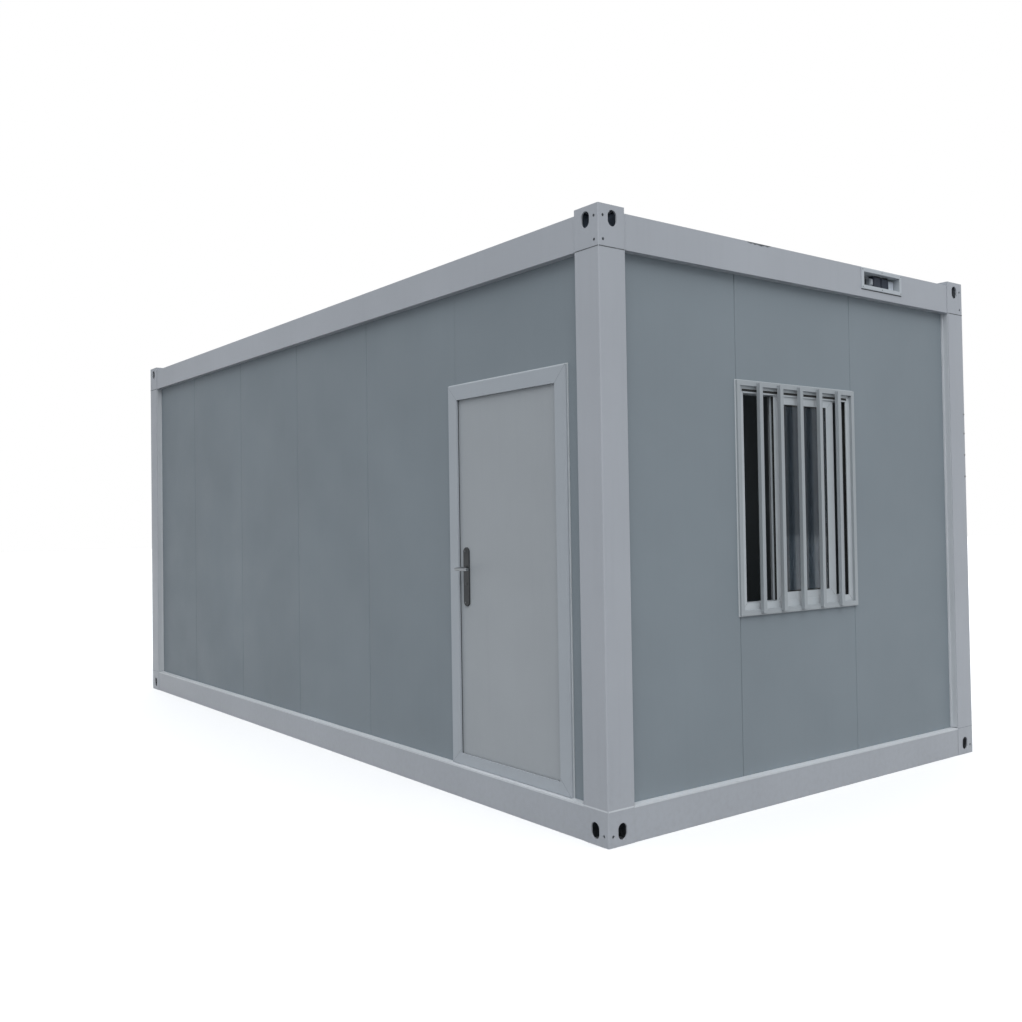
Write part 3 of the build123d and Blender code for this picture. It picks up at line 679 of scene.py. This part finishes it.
# Post joints: a line at the head and at the foot of each post, wide and pale at the near foot, where the
# pale line is a painted highlight
def post_joints():
    inset, rise = 3 * MM, 0.3 * MM
    head_width, foot_width, near_foot_width = 5 * MM, 2 * MM, 7 * MM
    near_foot = bmesh.new()
    heads = bmesh.new()
    feet = bmesh.new()
    for corner in CORNERS:
        low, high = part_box(f"{corner}_post")
        way_x, way_y = corner_ways(corner)
        face_x, face_y = end_of(low.x, high.x, way_x), end_of(low.y, high.y, way_y)
        foot = (near_foot, near_foot_width) if corner == "front_right" else (feet, foot_width)
        for (mesh, width), level in ((foot, low.z), ((heads, head_width), high.z)):
            start, end = (face_x, low.y + inset, level), (face_x, high.y - inset, level)
            add_line(mesh, start, end, width, (way_x, 0, 0), rise)
            start, end = (low.x + inset, face_y, level), (high.x - inset, face_y, level)
            add_line(mesh, start, end, width, (0, way_y, 0), rise)
    new_piece("near_post_foot_joint_highlight", near_foot, pale_highlight_paint)
    new_piece("post_head_joints", heads, joint_shade)
    new_piece("post_foot_joints", feet, paint_line)


# Bolts: four in the face of the far post of the window wall, near its outer edge
def post_bolts():
    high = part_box("back_right_post")[1]
    from_edge = 12 * MM
    levels = (1.673, 1.804, 1.935, 2.052)
    places = [(high.x, high.y - from_edge, level) for level in levels]
    screws("post_bolts", places, TO_RIGHT, 6 * MM, 4 * MM, dark_zinc)


# Foot flashing: a pale sheet on the ledge of the floor beams, with a small lip down their faces. Its pale
# colour is a painted highlight, the light from above on the ledge
def foot_flashing():
    end_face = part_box("right_wall_side_panels")[1].x
    wall_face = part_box("front_wall_panels")[0].y
    low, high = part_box("front_floor_beam")
    right_low, right_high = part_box("right_floor_beam")
    rim_low, rim_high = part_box("door_frame")
    thick, lip, lip_drop = 2 * MM, 1 * MM, 7 * MM
    ledge = high.z
    top, bottom = ledge + thick, ledge - lip_drop
    mesh = bmesh.new()
    for start, end, wall in (
        (low.x, rim_low.x, wall_face),
        (rim_low.x, rim_high.x, rim_low.y),
        (rim_high.x, high.x, wall_face),
    ):
        add_block(mesh, (start, low.y, ledge), (end, wall, top))
    add_block(mesh, (low.x, -wall_face, ledge), (high.x, -low.y, top))
    for way in (-1, 1):
        near, far = sorted((way * end_face, way * right_high.x))
        add_block(mesh, (near, right_low.y, ledge), (far, right_high.y, top))
        near, far = sorted((way * right_high.x, way * (right_high.x + lip)))
        add_block(mesh, (near, right_low.y, bottom), (far, right_high.y, top))
        near, far = sorted((-way * low.y, way * (lip - low.y)))
        add_block(mesh, (low.x, near, bottom), (high.x, far, top))
    new_piece("foot_flashing", mesh, pale_highlight_paint)


# Roof beam over the window: worn paint along its top edge
def beam_scuff():
    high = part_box("right_roof_beam")[1]
    scuff_start = -0.490
    step, rise, from_top = 16 * MM, 0.4 * MM, 1 * MM
    depths = (4, 7, 5, 9, 6, 8, 10, 7, 5, 8, 4)
    top = high.z - from_top
    mesh = bmesh.new()
    for index, depth in enumerate(depths):
        y = scuff_start + index * step
        add_block(mesh, (high.x, y, top - depth * MM), (high.x + rise, y + step, top))
    new_piece("beam_scuff", mesh, joint_shade)


# Roof sheet: screws at even steps along both eaves
def roof_screws():
    low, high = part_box("roof_sheet")
    rib_height, from_eave, pitch = 18 * MM, 25 * MM, 475 * MM
    half_count = 6
    skin_top = high.z - rib_height
    places = []
    for bay in range(-half_count, half_count):
        x = (bay + 0.5) * pitch
        places += [(x, y, skin_top) for y in (low.y + from_eave, high.y - from_eave)]
    screws("roof_screws", places, TO_SKY, 7 * MM, 4 * MM, dark_zinc)


# Casting liners: darker steel inside each corner casting, on the two walls opposite its slots: partly the
# casting's unpainted inside, partly painted shade of the hollow
def casting_liners():
    wall, liner = 8 * MM, 1 * MM
    wall_inset = Vector((wall, wall, wall))
    roof_liners = bmesh.new()
    base_liners = bmesh.new()
    for corner in CORNERS:
        way_x, way_y = corner_ways(corner)
        for name, mesh in (("roof", roof_liners), ("base", base_liners)):
            low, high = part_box(f"{corner}_{name}_casting")
            low, high = low + wall_inset, high - wall_inset
            x = end_of(low.x, high.x - liner, -way_x)
            add_block(mesh, (x, low.y, low.z), (x + liner, high.y, high.z))
            y = end_of(low.y, high.y - liner, -way_y)
            add_block(mesh, (low.x, y, low.z), (high.x, y + liner, high.z))
    new_piece("roof_casting_liners", roof_liners, hollow_steel_and_shade)
    new_piece("base_casting_liners", base_liners, dark_steel_and_shade)


# Casting welds: a bead where each roof casting meets its two beams
def casting_welds():
    weld, rise, short = 7 * MM, 2.2 * MM, 2 * MM
    mesh = bmesh.new()
    for corner in CORNERS:
        way_x, way_y = corner_ways(corner)
        low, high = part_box(f"{corner}_roof_casting")
        end_low, end_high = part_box("right_roof_beam" if way_x > 0 else "left_roof_beam")
        side_low, side_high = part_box("back_roof_beam" if way_y > 0 else "front_roof_beam")
        face_x, face_y = end_of(end_low.x, end_high.x, way_x), end_of(side_low.y, side_high.y, way_y)
        weld_x = end_of(low.x, high.x, -way_x) - way_x * weld / 2
        weld_y = end_of(low.y, high.y, -way_y) - way_y * weld / 2
        bottom, top = end_low.z + short, end_high.z - short
        add_line(mesh, (face_x, weld_y, bottom), (face_x, weld_y, top), weld, (way_x, 0, 0), rise)
        add_line(mesh, (weld_x, face_y, bottom), (weld_x, face_y, top), weld, (0, way_y, 0), rise)
    new_piece("casting_welds", mesh, MATERIALS["frame_paint"])


# Casting plugs: dark plugs in the small round holes of the outer walls, painted shade that darkens the
# holes
def casting_plugs():
    hole_inset, sunk = 29 * MM, 4 * MM
    radius, rise, sides = 6.4 * MM, 1 * MM, 12
    below_top = {"roof": (54 * MM, 161 * MM), "base": (112 * MM,)}
    mesh = bmesh.new()
    for corner in CORNERS:
        way_x, way_y = corner_ways(corner)
        for name, drops in below_top.items():
            low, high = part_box(f"{corner}_{name}_casting")
            face_x, face_y = end_of(low.x, high.x, way_x), end_of(low.y, high.y, way_y)
            for drop in drops:
                z = high.z - drop
                on_end = (face_x - way_x * sunk, face_y - way_y * hole_inset, z)
                on_side = (face_x - way_x * hole_inset, face_y - way_y * sunk, z)
                add_screw(mesh, on_end, (way_x, 0, 0), radius, rise, sides)
                add_screw(mesh, on_side, (0, way_y, 0), radius, rise, sides)
    new_piece("casting_plugs", mesh, dark_steel_and_shade)


# Wall over the door: the photograph shows no joint here, so a thin painted strip hides part of it.
# It is centred between the end of one panel's tongue and the edge of the next panel, so it covers the
# gap and the chamfer on the right, and leaves the chamfer on the left to be seen
def over_door_strip():
    tongue_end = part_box("front_wall_door_side")[1].x
    over_low, over_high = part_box("front_wall_over_door")
    frame_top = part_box("door_frame")[1].z
    beam_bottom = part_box("front_roof_beam")[0].z
    width, rise = 10 * MM, 0.15 * MM
    over_frame, under_beam = 6 * MM, 1 * MM
    strip_x = (tongue_end + over_low.x) / 2
    bottom, top = frame_top + over_frame, min(over_high.z, beam_bottom) - under_beam
    mesh = bmesh.new()
    add_line(mesh, (strip_x, over_low.y, bottom), (strip_x, over_low.y, top), width, TO_FRONT, rise)
    new_piece("over_door_strip", mesh, MATERIALS["panel_paint"])


door_leaf_details()
door_frame_details()
hinge_details()
sash_details()
track_details()
grille_details()
inlet_details()
socket_details()
socket_neighbours()
post_trims()
post_joints()
post_bolts()
foot_flashing()
beam_scuff()
roof_screws()
casting_liners()
casting_welds()
casting_plugs()
over_door_strip()


# Studio floor: mid grey for the light it throws back, and nearly white where it is seen
def floor_material():
    n = Nodes("studio_floor")
    rays = n.add("ShaderNodeLightPath").outputs
    seen = n.combine("MAXIMUM", rays["Is Camera Ray"], rays["Is Glossy Ray"])
    seen = n.combine("MAXIMUM", seen, rays["Is Transmission Ray"])
    n.surface("Base Color", n.mix(seen, linear("#8a8b8c"), linear("#f7f7f7")))
    n.surface("Roughness", 0.9)
    n.surface("Specular IOR Level", 0.1)
    return n.material


def studio_floor():
    half_size, drop = 60.0, 0.5 * MM
    mesh = bmesh.new()
    bmesh.ops.create_grid(mesh, x_segments=1, y_segments=1, size=half_size)
    data = bpy.data.meshes.new("studio_floor")
    mesh.to_mesh(data)
    mesh.free()
    data.materials.append(floor_material())
    floor = bpy.data.objects.new("studio_floor", data)
    floor.location.z = -drop
    bpy.context.scene.collection.objects.link(floor)


# Studio sky: white where it is seen, and a soft blue-white light, brighter overhead, elsewhere
def studio_sky():
    world = bpy.data.worlds.new("studio_world")
    bpy.context.scene.world = world
    world.use_nodes = True
    tree = world.node_tree
    sky = tree.nodes["Background"]
    sky.inputs["Color"].default_value = (0.93, 0.96, 1.0, 1.0)
    direction = tree.nodes.new("ShaderNodeSeparateXYZ")
    tree.links.new(tree.nodes.new("ShaderNodeTexCoord").outputs["Generated"], direction.inputs["Vector"])
    lift = tree.nodes.new("ShaderNodeMapRange")
    for key, number in zip(SPAN_SOCKETS, (0.0, 1.0, 0.74, 0.95)):
        lift.inputs[key].default_value = number
    tree.links.new(direction.outputs["Z"], lift.inputs["Value"])
    tree.links.new(lift.outputs["Result"], sky.inputs["Strength"])
    white = tree.nodes.new("ShaderNodeBackground")
    white.inputs["Color"].default_value = (1.0, 1.0, 1.0, 1.0)
    white.inputs["Strength"].default_value = 1.0
    light_path = tree.nodes.new("ShaderNodeLightPath")
    both = tree.nodes.new("ShaderNodeMixShader")
    tree.links.new(light_path.outputs["Is Camera Ray"], both.inputs["Fac"])
    tree.links.new(sky.outputs["Background"], both.inputs[1])
    tree.links.new(white.outputs["Background"], both.inputs[2])
    tree.links.new(both.outputs["Shader"], tree.nodes["World Output"].inputs["Surface"])


def soft_sun(name, towards, strength, spread):
    """A wide sun lamp. towards is the way to the lamp, and spread its width in degrees."""
    light = bpy.data.lights.new(name, "SUN")
    light.energy = strength
    light.angle = math.radians(spread)
    lamp = bpy.data.objects.new(name, light)
    lamp.rotation_euler = Vector(towards).to_track_quat("Z", "Y").to_euler()
    bpy.context.scene.collection.objects.link(lamp)


# Room lamp: a faint light inside, so that the room can be made out through the window
def room_glow():
    glow = bpy.data.lights.new("room_glow", "POINT")
    glow.energy = 3.5
    glow.shadow_soft_size = 0.4
    lamp = bpy.data.objects.new("room_glow", glow)
    lamp.location = (0.6, 0.2, 1.6)
    bpy.context.scene.collection.objects.link(lamp)


def camera():
    """The camera's axes from its yaw, pitch and roll."""
    level = Vector((math.cos(CAMERA_YAW), math.sin(CAMERA_YAW), 0.0))
    ahead = level * math.cos(CAMERA_PITCH) + Vector((0, 0, math.sin(CAMERA_PITCH)))
    right = ahead.cross(Vector(TO_SKY)).normalized()
    over = right.cross(ahead)
    rolled_right = right * math.cos(CAMERA_ROLL) + over * math.sin(CAMERA_ROLL)
    rolled_over = over * math.cos(CAMERA_ROLL) - right * math.sin(CAMERA_ROLL)
    data = bpy.data.cameras.new("camera")
    data.sensor_fit = "HORIZONTAL"
    data.sensor_width = 36.0
    data.lens = CAMERA_LENS
    data.shift_x, data.shift_y = CAMERA_SHIFT
    data.clip_end = 200.0
    eye = bpy.data.objects.new("camera", data)
    turn = Matrix((rolled_right, rolled_over, -ahead)).transposed().to_4x4()
    eye.matrix_world = Matrix.Translation(CAMERA_PLACE) @ turn
    bpy.context.scene.collection.objects.link(eye)
    bpy.context.scene.camera = eye


studio_floor()
studio_sky()
soft_sun("key_light", (0.66, -0.44, 1.00), 1.9, 50)
soft_sun("fill_light", (-0.7, 0.6, 0.9), 0.5, 70)
room_glow()
camera()
bpy.context.scene.view_settings.view_transform = "Standard"
